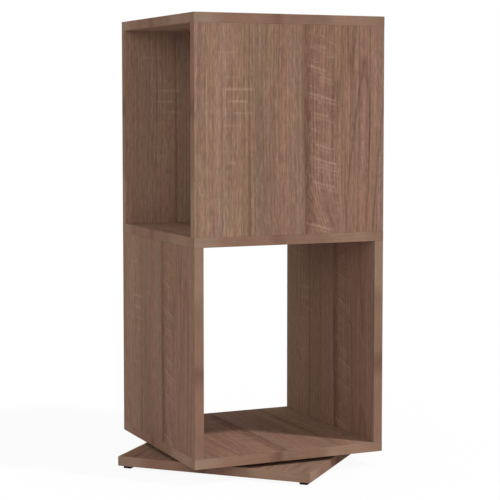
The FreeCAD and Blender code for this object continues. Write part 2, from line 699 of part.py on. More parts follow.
# Checks and files
doc.recompute()
failed = [item.Label for item in doc.Objects if {"Invalid", "Error"} & set(item.State)]
if failed:
    raise RuntimeError("failed objects: " + ", ".join(failed))
for node in nodes:
    if node.Shape.isNull() or not node.Shape.isValid():
        raise RuntimeError(f"{node.Label} has no valid shape")

os.makedirs("parts", exist_ok=True)
for node in nodes:
    node.Shape.exportStep(f"parts/{node.Label}.step")
    box = node.Shape.BoundBox
    print(f"{node.Label}: {len(node.Shape.Solids)} solids, {node.Shape.Volume:.0f} mm3, "
          f"z {box.ZMin:.2f} to {box.ZMax:.2f}")
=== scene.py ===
# %% [markdown]
# Rotating shelf unit
#
# The object is a square shelf tower made of melamine-faced board with a dark sawn-oak print. Three
# square boards and four upright panels make two open compartments, the upper one a quarter turn from
# the lower one. The tower turns on a ball bearing above a square base plate that stands on four glides.
#
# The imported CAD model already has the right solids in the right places. This lesson gives them their
# finishes, makes the small fasteners that repeat, and sets up a camera, a floor and soft light.

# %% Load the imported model
from math import pi, radians, sqrt

import bpy
from mathutils import Matrix, Vector


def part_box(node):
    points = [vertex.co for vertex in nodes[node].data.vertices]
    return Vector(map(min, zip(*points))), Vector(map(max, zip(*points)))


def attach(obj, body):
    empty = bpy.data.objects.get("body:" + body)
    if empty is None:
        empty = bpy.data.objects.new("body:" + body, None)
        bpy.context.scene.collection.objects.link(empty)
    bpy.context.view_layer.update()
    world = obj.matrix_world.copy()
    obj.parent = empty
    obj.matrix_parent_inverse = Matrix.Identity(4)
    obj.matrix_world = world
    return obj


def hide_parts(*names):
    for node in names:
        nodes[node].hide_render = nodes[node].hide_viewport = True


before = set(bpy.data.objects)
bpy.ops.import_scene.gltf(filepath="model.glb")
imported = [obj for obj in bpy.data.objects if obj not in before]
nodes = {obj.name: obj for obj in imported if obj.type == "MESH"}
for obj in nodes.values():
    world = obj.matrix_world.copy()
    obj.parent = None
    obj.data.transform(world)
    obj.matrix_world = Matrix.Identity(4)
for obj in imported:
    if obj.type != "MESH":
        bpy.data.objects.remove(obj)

scene = bpy.context.scene
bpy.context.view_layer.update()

# %% [markdown]
# The photograph was taken with a long lens from the front left, a little above the tower's middle. Its
# upright edges are almost parallel, as when the camera is kept level and the lens is shifted down. The
# camera could be placed by eye. Here its numbers were solved from board corners in the photograph. The
# shift is small, so that the object stays in the picture from the other sides too.

# %% Camera
CAMERA_PLACE = (-1.0749, -2.4160, 0.6105)
CAMERA_PITCH = 4.114
CAMERA_YAW = 24.028
CAMERA_LENS = 110.67
CAMERA_SENSOR = 36
CAMERA_SHIFT = -0.07

camera_data = bpy.data.cameras.new("photo_camera")
camera_data.sensor_width = CAMERA_SENSOR
camera_data.lens = CAMERA_LENS
camera_data.shift_y = CAMERA_SHIFT
camera = bpy.data.objects.new("photo_camera", camera_data)
camera.location = CAMERA_PLACE
camera.rotation_euler = (radians(90 - CAMERA_PITCH), 0, radians(-CAMERA_YAW))
scene.collection.objects.link(camera)
scene.camera = camera
scene.view_settings.view_transform = "Standard"
print("camera at", CAMERA_PLACE, "lens", CAMERA_LENS)

# %% [markdown]
# Every finish below is made of shader nodes. They could be placed by hand in the node editor, but a
# script can be read from top to bottom and run again. Short helpers keep it readable.


# %% Feed and add nodes
def feed(tree, socket, value):
    """Link a socket to another node's output, or write a constant into it."""
    if isinstance(value, bpy.types.NodeSocket):
        tree.links.new(value, socket)
    else:
        socket.default_value = value


def add_node(tree, kind, *values, **settings):
    """Add a node, set its plain properties, and feed its inputs in their order."""
    node = tree.nodes.new(kind)
    for name, value in settings.items():
        setattr(node, name, value)
    for socket, value in zip(node.inputs, values):
        feed(tree, socket, value)
    return node


print("helpers: feed, add_node")


# %% Sums and soft steps
def calc(tree, operation, *values, clamp=False):
    """One Math node."""
    return add_node(tree, "ShaderNodeMath", *values, operation=operation, use_clamp=clamp).outputs[0]


def times(tree, product, *others):
    """The product of all values."""
    for other in others:
        product = calc(tree, "MULTIPLY", product, other)
    return product


def minus(tree, first, second):
    """The first value less the second."""
    return calc(tree, "SUBTRACT", first, second)


def smooth(tree, value, low, high, out_low=0.0, out_high=1.0):
    """A soft step: out_low below low, out_high above high, and a smooth curve between them."""
    return add_node(tree, "ShaderNodeMapRange", value, low, high, out_low, out_high,
                    interpolation_type="SMOOTHSTEP").outputs[0]


print("helpers: calc, times, minus, smooth")

# %% [markdown]
# The photograph has a plain white ground, an even brightness all round, and one soft lamp high on the
# front right, which draws the only shadow edge, across the lower compartment's floor. A wide softbox near
# the camera fills the compartments. More light would make the ground white too, but it would bleach the
# wood. So the three lights here give the front panel a level of one, at which a colour shows as it is
# written, and the world and the floor are white only to the camera and in reflections.

# %% World
WORLD_LIGHT = 0.59
WHITE = (1, 1, 1, 1)


def seen_directly(tree):
    """1 for rays that show the background itself: from the camera, in gloss or through glass."""
    path = add_node(tree, "ShaderNodeLightPath").outputs
    shiny = calc(tree, "MAXIMUM", path["Is Glossy Ray"], path["Is Transmission Ray"])
    return calc(tree, "MAXIMUM", path["Is Camera Ray"], shiny)


world = bpy.data.worlds.new("studio")
world.use_nodes = True
tree = world.node_tree
tree.nodes.clear()
strength = smooth(tree, seen_directly(tree), 0.0, 1.0, WORLD_LIGHT, 1.0)
sky = add_node(tree, "ShaderNodeBackground", WHITE, strength)
add_node(tree, "ShaderNodeOutputWorld", sky.outputs[0])
scene.world = world
print("world light", WORLD_LIGHT)


# %% Lamps
def add_lamp(name, toward, softness, level):
    """A far lamp: the direction towards it, its width in degrees, and the level at which it lights a
    white face that looks straight at it."""
    data = bpy.data.lights.new(name, "SUN")
    data.angle = radians(softness)
    data.energy = level * pi
    lamp = bpy.data.objects.new(name, data)
    lamp.rotation_euler = (-Vector(toward)).to_track_quat("-Z", "Y").to_euler()
    scene.collection.objects.link(lamp)
    print(name, "level", level)


add_lamp("key_lamp", toward=(0.383, -0.432, 0.816), softness=4.5, level=0.57)
add_lamp("front_softbox", toward=(-0.62, -0.77, 0.17), softness=40.0, level=0.30)

# %% Floor
FLOOR_HALF = 8.0
FLOOR_SHADOW = 0.07
FLOOR_BOUNCE = (0.62, 0.62, 0.62, 1)
FLOOR_PAPER = (0.9, 0.9, 0.9, 1)

floor_material = bpy.data.materials.new("white_ground")
floor_material.use_nodes = True
tree = floor_material.node_tree
tree.nodes.clear()
bounce = add_node(tree, "ShaderNodeBsdfDiffuse", FLOOR_BOUNCE).outputs[0]
paper = add_node(tree, "ShaderNodeBsdfDiffuse", FLOOR_PAPER).outputs[0]
glow = add_node(tree, "ShaderNodeEmission").outputs[0]
shown = add_node(tree, "ShaderNodeMixShader", FLOOR_SHADOW, glow, paper).outputs[0]
ground = add_node(tree, "ShaderNodeMixShader", seen_directly(tree), bounce, shown).outputs[0]
add_node(tree, "ShaderNodeOutputMaterial", ground)

corners = [(x * FLOOR_HALF, y * FLOOR_HALF, 0) for x, y in ((-1, -1), (1, -1), (1, 1), (-1, 1))]
floor_mesh = bpy.data.meshes.new("floor")
floor_mesh.from_pydata(corners, [], [(0, 1, 2, 3)])
floor_mesh.materials.append(floor_material)
floor = bpy.data.objects.new("floor", floor_mesh)
scene.collection.objects.link(floor)
print("floor", 2 * FLOOR_HALF, "m square")

# %% [markdown]
# The boards are faced with printed paper under a satin melamine skin. The print shows oak planks with
# fine upright streaks, soft bands of warmer and greyer brown, two darker plank seams, and pale saw
# marks that cross the grain in two columns. A picture of real wood could be laid on the faces, but a
# pattern made of noise has no repeat, stays sharp close up and needs no file.
#
# The print is one node group, so that every board can use it. It reads a vector in metres: the first
# number runs across the grain, the second along it.


# %% Noise
def noise(tree, vector, per_metre, detail=2.0, roughness=0.5, shift=(0.0, 0.0, 0.0)):
    """Noise with so many blobs per metre along each of the vector's three directions."""
    scaled = add_node(tree, "ShaderNodeVectorMath", vector, per_metre, shift, operation="MULTIPLY_ADD")
    texture = add_node(tree, "ShaderNodeTexNoise", scaled.outputs[0], noise_dimensions="3D")
    for name, value in (("Scale", 1.0), ("Detail", detail), ("Roughness", roughness)):
        texture.inputs[name].default_value = value
    return texture.outputs[0]


print("helper: noise")


# %% Colours
def srgb(red, green, blue):
    """A colour as an eye or a picture has it, 0 to 255, turned into the linear numbers of a shader."""
    linear = []
    for part in (red / 255, green / 255, blue / 255):
        linear.append(part / 12.92 if part <= 0.04045 else ((part + 0.055) / 1.055) ** 2.4)
    return (*linear, 1.0)


def mix(tree, factor, first, second, mode="MIX"):
    """Mix two colours, which are a Mix node's inputs 6 and 7 and its output 2."""
    node = add_node(tree, "ShaderNodeMix", factor, data_type="RGBA", blend_type=mode)
    feed(tree, node.inputs[6], first)
    feed(tree, node.inputs[7], second)
    return node.outputs[2]


def colour_ramp(tree, stops, place, curve="LINEAR"):
    """Colours that follow each other at given places of a way."""
    ramp = add_node(tree, "ShaderNodeValToRGB", place)
    ramp.color_ramp.interpolation = curve
    elements = ramp.color_ramp.elements
    while len(elements) < len(stops):
        elements.new(0.5)
    for element, (position, colour) in zip(elements, stops):
        element.position = position
        element.color = colour
    return ramp.outputs[0]


print("helpers: srgb, mix, colour_ramp")

# %% Node groups
VECTOR = ("Vector", "NodeSocketVector")
COLOUR = ("Color", "NodeSocketColor")


def numbers(*names):
    """Sockets for numbers, with these names."""
    return tuple((name, "NodeSocketFloat") for name in names)


def new_group(name, inputs, outputs, kind="ShaderNodeTree"):
    """Start a node group with named sockets, and give its tree, its inputs and its outputs."""
    tree = bpy.data.node_groups.new(name, kind)
    for direction, sockets in (("INPUT", inputs), ("OUTPUT", outputs)):
        for socket_name, socket_kind in sockets:
            tree.interface.new_socket(socket_name, in_out=direction, socket_type=socket_kind)
    given = add_node(tree, "NodeGroupInput")
    result = add_node(tree, "NodeGroupOutput")
    return tree, given.outputs, result.inputs


def use_group(tree, group, **values):
    """Place a node group in a tree and feed its inputs by name."""
    node = add_node(tree, "ShaderNodeGroup", node_tree=group)
    for name, value in values.items():
        feed(tree, node.inputs[name.replace("_", " ")], value)
    return node.outputs


print("helpers: numbers, new_group, use_group")

# %% [markdown]
# Grain never runs quite straight. A slow noise lets it wander a few millimetres to both sides, and in
# the plank to the right of the second seam it leans over towards the lower end, as beside a branch.
# Each streak could be bent by itself. Bending the vector once, before any noise reads it, bends them
# all alike.

# %% Bent grain
PRINT_SIZE = 0.34
FIRST_SEAM = 0.096
SECOND_SEAM = 0.1935
SLOW_NOISE = (8, 2.4, 3)
WANDER = 0.012
LEAN_START = 0.235
LEAN = 2.6
LEANING_PLANK = ((SECOND_SEAM, SECOND_SEAM + 0.012), (SECOND_SEAM + 0.045, SECOND_SEAM + 0.085))


def split(tree, vector):
    """A vector's three numbers."""
    return add_node(tree, "ShaderNodeSeparateXYZ", vector).outputs


def combine(tree, x, y, z):
    """Three numbers as one vector."""
    return add_node(tree, "ShaderNodeCombineXYZ", x, y, z).outputs[0]


def swing(tree, value, width):
    """Noise as a swing about zero, so wide from end to end."""
    return times(tree, minus(tree, value, 0.5), width)


def band(tree, value, rise, fall, height=1.0):
    """A soft band that rises between two places and falls off between two others."""
    return times(tree, smooth(tree, value, *rise), smooth(tree, value, *fall, height, 0.0))


def bend_grain(tree, vector):
    """The places across and along the grain, the bent vector, and a mask of the leaning plank."""
    x, y, z = split(tree, vector)
    across = calc(tree, "ADD", x, swing(tree, noise(tree, vector, SLOW_NOISE, detail=1), WANDER))
    below = calc(tree, "MAXIMUM", minus(tree, y, LEAN_START), 0.0)
    plank = band(tree, x, *LEANING_PLANK)
    leaning = minus(tree, across, times(tree, below, below, LEAN, plank))
    return across, y, combine(tree, leaning, y, z), plank


print("seams", FIRST_SEAM, "and", SECOND_SEAM, "m across a print of", PRINT_SIZE, "m")

# %% [markdown]
# Streaks, pores and patches differ only in how finely they change. Streaks change hundreds of times in a
# metre across the grain, but far less often along it. Each layer could have code of its own, but as rows
# of one table they are easier to compare and to tune.

# %% Layers of noise
# Blobs per metre across, along and through the grain, detail, roughness, and a shift to another place
OAK_LAYERS = {
    "patches": ((60, 2.5, 9), 2, 0.5, (7.3, 1.1, 0.0)),
    "long_streaks": ((360, 3.0, 40), 2, 0.5, (2.2, 0.0, 0.0)),
    "streaks": ((430, 58, 60), 2, 0.6),
    "blush": ((330, 24, 50), 2, 0.6, (9.1, 4.0, 0.0)),
    "tan_bands": ((48, 3.0, 9), 2, 0.5, (5.2, 8.1, 0.0)),
    "tan_streaks": ((300, 16, 40), 2, 0.5, (6.4, 2.3, 0.0)),
    "fibre": ((1100, 90, 150), 2),
    "pores": ((1700, 110, 200), 1, 0.5, (3.0, 5.0, 0.0)),
    "rings": ((15, 1.0, 6), 1, 0.5, (1.7, 0.4, 0.0)),
}


def noise_layers(tree, vector, table):
    """The noise of every row of a table, by name."""
    return {name: noise(tree, vector, *row) for name, row in table.items()}


print("layers of the oak print:", len(OAK_LAYERS))

# %% [markdown]
# A colour ramp across the print holds the planks' tones, and noise gives them a pink or a yellow cast and
# rose streaks. The lightness is made apart: it starts at one, and each layer of noise changes it in turn.
# Both could come from one ramp, but this way a board can have calmer streaks in the same colours.

# %% Plank tones
WARM_TAN = srgb(143, 115, 95)
GREY_TAN = srgb(143, 118, 101)
BROWN = srgb(130, 105, 88)
RED_BROWN = srgb(134, 104, 88)
GREY_BROWN = srgb(132, 109, 93)
ROSE = srgb(138, 101, 86)
PINKER = (1.02, 0.99, 1.05, 1.0)
YELLOWER = (0.99, 1.01, 0.92, 1.0)
YELLOW_BANDS = 0.8
YELLOW_STREAKS = 0.6
YELLOW_RANGE = (0.5, 0.9)
BLUSH_GAIN = 2.0
BLUSH_LEVEL = -0.75

# Tones of the planks, at their shares of the way across the print
PLANK_TONES = (
    (0.00, GREY_TAN), (0.07, WARM_TAN), (0.15, GREY_TAN), (0.215, WARM_TAN), (0.28, BROWN),
    (0.32, GREY_BROWN), (0.36, BROWN), (0.47, RED_BROWN), (0.53, GREY_BROWN), (0.62, RED_BROWN),
    (0.92, RED_BROWN), (1.00, GREY_BROWN),
)


def plank_colour(tree, across, layers):
    """The planks' tones with a pink or yellow cast and rose streaks."""
    tones = colour_ramp(tree, PLANK_TONES, calc(tree, "DIVIDE", across, PRINT_SIZE))
    bands = times(tree, layers["tan_bands"], YELLOW_BANDS)
    yellow = calc(tree, "MULTIPLY_ADD", layers["tan_streaks"], YELLOW_STREAKS, bands)
    cast = mix(tree, smooth(tree, yellow, *YELLOW_RANGE), PINKER, YELLOWER)
    blush = calc(tree, "MULTIPLY_ADD", layers["blush"], BLUSH_GAIN, BLUSH_LEVEL, clamp=True)
    return mix(tree, blush, mix(tree, 1.0, tones, cast, mode="MULTIPLY"), ROSE)


print("plank tones:", len(PLANK_TONES))

# %% Streaks and rings
STREAK_DEPTHS = {"streaks": 0.95, "long_streaks": 1.10, "patches": 0.18, "fibre": 0.38}
RING_WAVES = 75.0
RING_LINES = (0.6, 1.0)
HEARTWOOD = (SECOND_SEAM + 0.02, SECOND_SEAM + 0.09, 0.05, 0.24)


def shade(tree, layers, depths):
    """A lightness about one that each layer of noise changes to its own depth."""
    level = 1.0
    for name, depth in depths.items():
        change = calc(tree, "MULTIPLY_ADD", layers[name], depth, 1.0 - depth / 2)
        level = times(tree, level, change)
    return level


def set_contrast(tree, level, contrast):
    """Bring a lightness nearer to one, or take it further away."""
    return calc(tree, "MULTIPLY_ADD", minus(tree, level, 1.0), contrast, 1.0)


def grain_level(tree, across, layers):
    """The lightness of streaks and fibres, with dark lines of growth rings in the heartwood."""
    waves = calc(tree, "SINE", times(tree, layers["rings"], RING_WAVES))
    rings = times(tree, smooth(tree, waves, *RING_LINES), smooth(tree, across, *HEARTWOOD))
    level = shade(tree, layers, STREAK_DEPTHS)
    return times(tree, level, minus(tree, 1.0, rings))


print("depths of the streaks:", STREAK_DEPTHS)

# %% [markdown]
# Where planks meet, the print shows dark lines: a thin one, and one that fades away to the right. They
# could be drawn straight, but then they would look ruled. Here noise pushes them to and fro, and pale
# streaks break them.

# %% Seams
SEAM_BROWN = srgb(100, 70, 58)
SEAM_SWINGS = {"patches": 0.012, "streaks": 0.007}
FIRST_BAND = ((FIRST_SEAM - 0.005, FIRST_SEAM), (FIRST_SEAM, FIRST_SEAM + 0.003), 0.48)
SECOND_BAND = ((SECOND_SEAM - 0.003, SECOND_SEAM), (SECOND_SEAM + 0.002, SECOND_SEAM + 0.028), 0.95)
FAINT_TOP = (0.0, 0.20, 0.6, 1.0)
SEAM_GAPS = (0.3, 0.75, 1.0, 0.45)


def seam_mask(tree, across, along, layers):
    """Two ragged seams. The second is fainter towards the top of the print."""
    edge = across
    for name, width in SEAM_SWINGS.items():
        edge = calc(tree, "ADD", edge, swing(tree, layers[name], width))
    second = times(tree, band(tree, edge, *SECOND_BAND), smooth(tree, along, *FAINT_TOP))
    both = calc(tree, "MAXIMUM", band(tree, edge, *FIRST_BAND), second)
    return times(tree, both, smooth(tree, layers["streaks"], *SEAM_GAPS))


print("seam strengths:", FIRST_BAND[-1], "and", SECOND_BAND[-1])

# %% [markdown]
# A coarse saw leaves cuts across the grain, which the print shows as pale lines in two columns. Those on
# the right slope and have faint echoes, and small pale flakes lie between them, as where a saw has cut
# oak along its rays. Each cut could be a shape of its own. Here a colour ramp along the grain holds a
# whole column, with one peak for each cut. The colour's channels carry three facts about it: red its
# strength, green its place across the grain, blue its half length.

# %% Lists of cuts
# Place along the grain, strength, place across the grain and half length, as shares of the print
LEFT_CUTS = (
    (0.137, 0.50, 0.153, 0.065), (0.252, 0.35, 0.190, 0.060), (0.308, 0.95, 0.222, 0.095),
    (0.365, 0.85, 0.218, 0.065), (0.420, 0.50, 0.245, 0.075), (0.479, 0.30, 0.195, 0.060),
    (0.600, 0.25, 0.170, 0.050), (0.653, 0.35, 0.195, 0.045),
)
RIGHT_CUTS = (
    (0.106, 0.50, 0.655, 0.045), (0.213, 0.85, 0.640, 0.065), (0.250, 0.60, 0.675, 0.055),
    (0.343, 0.90, 0.664, 0.095), (0.430, 0.75, 0.658, 0.050), (0.580, 0.80, 0.675, 0.065),
    (0.648, 0.95, 0.683, 0.085), (0.683, 0.70, 0.694, 0.075), (0.761, 0.85, 0.679, 0.080),
    (0.969, 0.95, 0.653, 0.090),
)
print("cuts:", len(LEFT_CUTS), "left and", len(RIGHT_CUTS), "right")

# %% A column of cuts
CUT_HALF = 0.0034 / PRINT_SIZE
CUT_GAPS = (0.25, 0.62, 0.25, 1.0)


def build_saw_marks(name, cuts, slope, middle, waver):
    """A group that gives the mask of one column of cuts, sloping about its middle and wavering."""
    tree, given, result = new_group(name, (VECTOR, *numbers("Fibre")), numbers("Mask"))
    parts = split(tree, given["Vector"])
    across = calc(tree, "DIVIDE", parts["X"], PRINT_SIZE)
    tilt = times(tree, minus(tree, across, middle), slope)
    along = minus(tree, calc(tree, "DIVIDE", parts["Y"], PRINT_SIZE), tilt)
    along = calc(tree, "ADD", along, swing(tree, given["Fibre"], waver))
    peaks = [(place + offset, (level * strength, centre, reach, 1.0))
             for place, strength, centre, reach in cuts
             for offset, level in ((-CUT_HALF, 0.0), (0.0, 1.0), (CUT_HALF, 0.0))]
    peak = colour_ramp(tree, peaks, along, curve="EASE")
    strength, centre, reach = add_node(tree, "ShaderNodeSeparateColor", peak).outputs
    away = calc(tree, "ABSOLUTE", minus(tree, across, centre))
    window = smooth(tree, away, times(tree, reach, 0.5), reach, 1.0, 0.0)
    broken = smooth(tree, given["Fibre"], *CUT_GAPS)
    feed(tree, result["Mask"], times(tree, strength, window, broken))
    return tree


left_saw_marks = build_saw_marks("left_saw_marks", LEFT_CUTS, slope=0.0, middle=0.2, waver=0.006)
right_saw_marks = build_saw_marks("right_saw_marks", RIGHT_CUTS, slope=0.26, middle=0.66, waver=0.022)
print("saw marks:", len(left_saw_marks.nodes) + len(right_saw_marks.nodes), "nodes")

# %% All pale marks
ECHO_SHIFT = (0.004, 0.0075, 0.0)
ECHO_STRENGTH = 0.55
FLAKE_SLANT = radians(-15)
FLAKE_NOISE = ((75, 240, 60), 1, 0.5, (1.0, 6.0, 0.0))
FLAKE_RANGE = (0.56, 0.74, 0.0, 0.36)


def pale_marks(tree, vector, plank, layers):
    """The mask of both columns of cuts, the echoes of the right one, and the flakes."""
    left = use_group(tree, left_saw_marks, Vector=vector, Fibre=layers["streaks"])["Mask"]
    right = use_group(tree, right_saw_marks, Vector=vector, Fibre=layers["streaks"])["Mask"]
    below = add_node(tree, "ShaderNodeVectorMath", vector, ECHO_SHIFT, operation="SUBTRACT").outputs[0]
    echo = use_group(tree, right_saw_marks, Vector=below, Fibre=layers["blush"])["Mask"]
    slanted = add_node(tree, "ShaderNodeMapping", vector, (0, 0, 0), (0, 0, FLAKE_SLANT)).outputs[0]
    flakes = smooth(tree, noise(tree, slanted, *FLAKE_NOISE), *FLAKE_RANGE)
    marks = calc(tree, "MAXIMUM", left, right)
    marks = calc(tree, "MAXIMUM", marks, times(tree, echo, ECHO_STRENGTH))
    return calc(tree, "MAXIMUM", marks, times(tree, flakes, plank))


print("echoes", ECHO_SHIFT[1] * 1000, "mm below the cuts")

# %% [markdown]
# The print's parts are laid over each other as a printer lays inks: plank tones, streaks, dark pores,
# seams and pale marks. Besides the colour, the group gives a roughness and a height, because a pressed
# melamine skin follows the print: pores are sunk, and pale streaks shine a little more. Contrast is an
# input, because boards from different batches are never quite alike. Tone is an input too: above one, it
# lightens a board's print as painted light, on boards that the lamps leave darker.

# %% Whole print
PRINT_INPUTS = (VECTOR, *numbers("Tone", "Contrast"))
PRINT_OUTPUTS = (COLOUR, *numbers("Roughness", "Height"))
PORE_BROWN = srgb(98, 75, 63)
PORE_COLOUR_RANGE = (0.60, 0.74, 0.0, 0.6)
PORE_DEPTH_RANGE = (0.58, 0.74)
FIBRE_RELIEF = 0.5
MARK_PALE = srgb(186, 158, 139)
MARK_STRENGTH = 0.46
MARK_RELIEF = 0.4
DULL = 0.88
STREAK_SHINE = -0.16


def build_sawn_oak():
    """The oak print: colour, roughness and height for any point of a board."""
    tree, given, result = new_group("sawn_oak", PRINT_INPUTS, PRINT_OUTPUTS)
    across, along, grain, plank = bend_grain(tree, given["Vector"])
    layers = noise_layers(tree, grain, OAK_LAYERS)
    level = set_contrast(tree, grain_level(tree, across, layers), given["Contrast"])
    colour = mix(tree, 1.0, plank_colour(tree, across, layers), level, mode="MULTIPLY")
    colour = mix(tree, smooth(tree, layers["pores"], *PORE_COLOUR_RANGE), colour, PORE_BROWN)
    colour = mix(tree, seam_mask(tree, across, along, layers), colour, SEAM_BROWN)
    marks = times(tree, pale_marks(tree, given["Vector"], plank, layers), given["Contrast"])
    colour = mix(tree, times(tree, marks, MARK_STRENGTH), colour, MARK_PALE)
    feed(tree, result["Color"], mix(tree, 1.0, colour, given["Tone"], mode="MULTIPLY"))
    feed(tree, result["Roughness"], calc(tree, "MULTIPLY_ADD", layers["streaks"], STREAK_SHINE, DULL))
    relief = times(tree, layers["fibre"], FIBRE_RELIEF)
    relief = minus(tree, relief, smooth(tree, layers["pores"], *PORE_DEPTH_RANGE))
    feed(tree, result["Height"], calc(tree, "MULTIPLY_ADD", marks, MARK_RELIEF, relief))
    return tree


sawn_oak = build_sawn_oak()
print("sawn oak:", len(sawn_oak.nodes), "nodes")

# %% [markdown]
# The print lies differently on each board: upright on the panels, from front to back on the square
# boards, and turned with the base plate. Each board could have a pattern of its own. It is shorter to let
# a Mapping node turn the object's own coordinates into the print's directions, so that one group serves
# them all.


# %% Start a material
def start_material(name):
    """A material with an untouched Principled shader, which is given with its tree."""
    material = bpy.data.materials.new(name)
    material.use_nodes = True
    return material, material.node_tree, material.node_tree.nodes["Principled BSDF"]


def object_place(tree):
    """A point's place in the object's own coordinates, in metres."""
    return add_node(tree, "ShaderNodeTexCoord").outputs["Object"]


def dress(tree, shader, colour, roughness, height, strength, distance):
    """Give a shader its colour, its roughness and the relief of a height."""
    bump = add_node(tree, "ShaderNodeBump")
    bump.inputs["Strength"].default_value = strength
    bump.inputs["Distance"].default_value = distance
    feed(tree, bump.inputs["Height"], height)
    feed(tree, shader.inputs["Normal"], bump.outputs[0])
    feed(tree, shader.inputs["Base Color"], colour)
    feed(tree, shader.inputs["Roughness"], roughness)


print("helpers: start_material, object_place, dress")

# %% Lay a print on a board
SATIN_GLOSS = 0.02
PRINT_BUMP = 0.25
PRINT_DEPTH = 0.0002


def print_vector(tree, across, along, start, stretch):
    """The object's coordinates turned into the print's: across the grain, along it, and through."""
    across = Vector(across).normalized()
    along = Vector(along).normalized()
    turn = Matrix((across, along, across.cross(along)))
    move = -(turn @ (Vector(start) * Vector(stretch)))
    place = object_place(tree)
    return add_node(tree, "ShaderNodeMapping", place, move, turn.to_euler("XYZ"), stretch).outputs[0]


def oak_finish(name, pattern, across, along, start, tone_and_painted_light, contrast, stretch=(1, 1, 1)):
    """A print laid on a board or strip along given directions, with its own contrast, and a tone that
    lightens it above one as painted light.
    """
    material, tree, shader = start_material(name)
    vector = print_vector(tree, across, along, start, stretch)
    oak = use_group(tree, pattern, Vector=vector, Tone=tone_and_painted_light, Contrast=contrast)
    dress(tree, shader, oak["Color"], oak["Roughness"], oak["Height"], PRINT_BUMP, PRINT_DEPTH)
    shader.inputs["Specular IOR Level"].default_value = SATIN_GLOSS
    return material


print("helpers: print_vector, oak_finish")

# %% Oak finishes
UP = (0, 0, 1)
DOWN = (0, 0, -1)
HALF = PRINT_SIZE / 2
UPPER_TOP = 0.7395
LOWER_TOP = 0.3835
BOTTOM_START = 0.19

# A tone above one is painted light: it lightens the print of the lower right panel, the top and middle
# boards, the bottom board and the base plate, which the lamps leave darker.
# Directions across and along the grain, the print's starting corner, tone and contrast
OAK_LAYS = {
    "oak_front_panel": ((1, 0, 0), DOWN, (-HALF, 0, UPPER_TOP), 1.0, 1.0),
    "oak_back_panel": ((1, 0, 0), DOWN, (-HALF, 0, UPPER_TOP), 1.0, 0.72),
    "oak_left_panel": ((0, -1, 0), DOWN, (0, HALF, LOWER_TOP), 1.0, 0.72),
    "oak_right_panel": ((0, -1, 0), DOWN, (0, HALF, LOWER_TOP), 1.09, 0.68),
    "oak_boards": ((1, 0, 0), (0, 1, 0), (-HALF, -HALF, 0), 1.08, 1.0),
    "oak_bottom_board": ((-1, 0, 0), (0, 1, 0), (BOTTOM_START, -HALF, 0), 1.13, 0.7),
    "oak_base_plate": ((1, -1, 0), (1, 1, 0), (-HALF, HALF, 0), 1.13, 0.75),
}

oak_finishes = {name: oak_finish(name, sawn_oak, *lay) for name, lay in OAK_LAYS.items()}
print("oak finishes:", len(oak_finishes))

# %% [markdown]
# The narrow edges are covered with a thin strip off a roll. Its print is plainer than the boards': the
# grain runs along the strip, without seams or saw marks. Every strip is cut at the same place of the
# print, so each shows the same tones: pale at its start, rose brown up to a dark fleck before the middle,
# then brown, and tan towards its end. Noise alone would put such a fleck anywhere, so a colour ramp holds
# these tones.
#
# Strips that meet at a corner of a board can share one finish. A diagonal direction runs along both, and
# the count of lengths along it starts anew at the corner. The ramp reads only its fraction.

# %% Strip tones
EDGE_PALE = srgb(140, 116, 99)
EDGE_ROSE = srgb(132, 101, 85)
EDGE_FLECK = srgb(111, 83, 69)
EDGE_BROWN = srgb(128, 102, 85)
EDGE_TAN = srgb(139, 112, 94)

# Tones along a strip, at their shares of its length
STRIP_TONES = (
    (0.00, EDGE_PALE), (0.09, EDGE_PALE), (0.16, EDGE_ROSE), (0.38, EDGE_ROSE), (0.435, EDGE_FLECK),
    (0.475, EDGE_BROWN), (0.54, EDGE_ROSE), (0.60, EDGE_BROWN), (0.67, EDGE_BROWN), (0.73, EDGE_TAN),
    (0.90, EDGE_TAN), (1.00, EDGE_BROWN),
)
print("strip tones:", len(STRIP_TONES))

# %% Edge print
# Blobs per metre, detail, roughness and shift, as in the oak layers
EDGE_LAYERS = {
    "patches": ((40, 42, 1), 2, 0.6, (4.0, 2.0, 0.0)),
    "blush": ((40, 14, 1), 2, 0.5, (8.0, 1.0, 0.0)),
    "streaks": ((420, 12, 2), 3, 0.6),
    "fibre": ((1500, 60, 4), 2),
}
EDGE_DEPTHS = {"patches": 0.26, "streaks": 0.36, "fibre": 0.24}
EDGE_BLUSH = (0.42, 0.66, 0.0, 0.25)
TONE_SWING = 0.06


def build_edge_print():
    """The plainer print of the edge strips."""
    tree, given, result = new_group("edge_print", PRINT_INPUTS, PRINT_OUTPUTS)
    layers = noise_layers(tree, given["Vector"], EDGE_LAYERS)
    along = split(tree, given["Vector"])["Y"]
    share = calc(tree, "FRACT", calc(tree, "DIVIDE", along, PRINT_SIZE))
    share = calc(tree, "ADD", share, swing(tree, layers["patches"], TONE_SWING))
    colour = colour_ramp(tree, STRIP_TONES, share)
    colour = mix(tree, smooth(tree, layers["blush"], *EDGE_BLUSH), colour, ROSE)
    level = set_contrast(tree, shade(tree, layers, EDGE_DEPTHS), given["Contrast"])
    level = times(tree, level, given["Tone"])
    feed(tree, result["Color"], mix(tree, 1.0, colour, level, mode="MULTIPLY"))
    feed(tree, result["Roughness"], calc(tree, "MULTIPLY_ADD", layers["streaks"], STREAK_SHINE, DULL))
    feed(tree, result["Height"], layers["fibre"])
    return tree


edge_print = build_edge_print()
print("edge print:", len(edge_print.nodes), "nodes")

# %% Strip finishes
MIDDLE = (0, 0, 0)
UPPER_STRIP_START = (0, 0, 0.8027)
LOWER_STRIP_START = (0, 0, -0.0197)
ROUND_CORNER = (sqrt(2), sqrt(2), 1)
UPRIGHT = (1, 1, 0.748)
